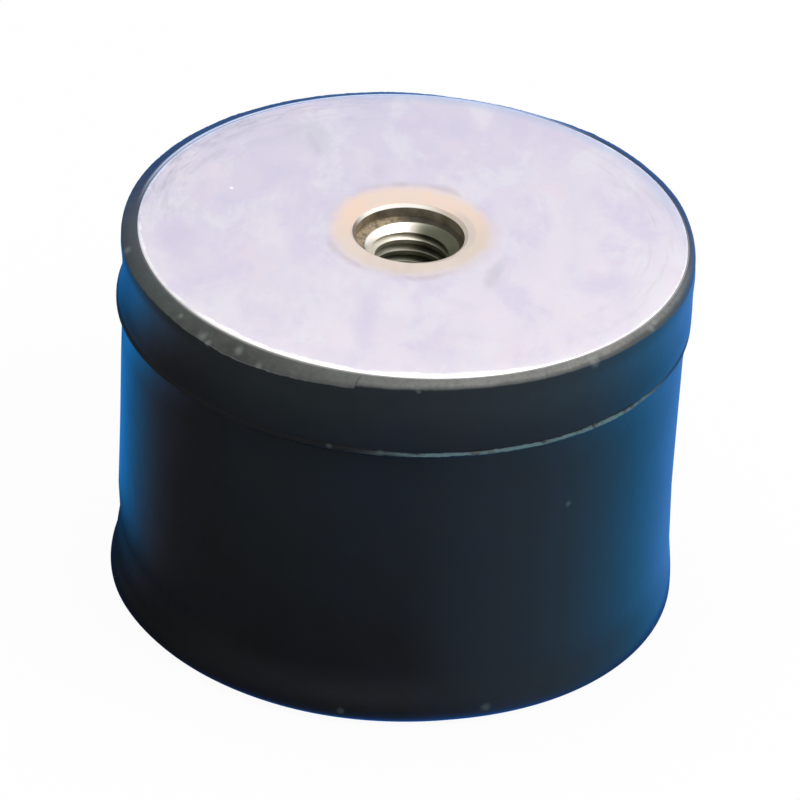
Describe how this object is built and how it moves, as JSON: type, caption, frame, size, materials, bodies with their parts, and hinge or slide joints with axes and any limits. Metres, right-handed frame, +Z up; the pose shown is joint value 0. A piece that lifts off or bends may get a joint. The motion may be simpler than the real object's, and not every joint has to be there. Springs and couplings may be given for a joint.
{
  "type": "rubber buffer",
  "caption": "Cylindrical rubber buffer with a bonded steel plate and a threaded bush at each end, to carry and isolate a machine from vibration.",
  "frame": {"origin": "centre of the lower plate's outer face, which the buffer stands on", "axes": "+Z up the axis of the cylinder, from the lower plate to the upper plate; X and Y are free, as the form is round"},
  "size_m": [0.0798, 0.0798, 0.055],
  "materials": {
    "black_rubber": "satin moulded black rubber",
    "zinc_plate": "matt, mottled pale zinc plating",
    "bush_steel": "turned steel, warm tone"
  },
  "bodies": {
    "root": {"rubber_body": "black_rubber", "upper_plate": "zinc_plate", "lower_plate": "zinc_plate", "upper_bush": "bush_steel", "lower_bush": "bush_steel"}
  },
  "joints": []
}
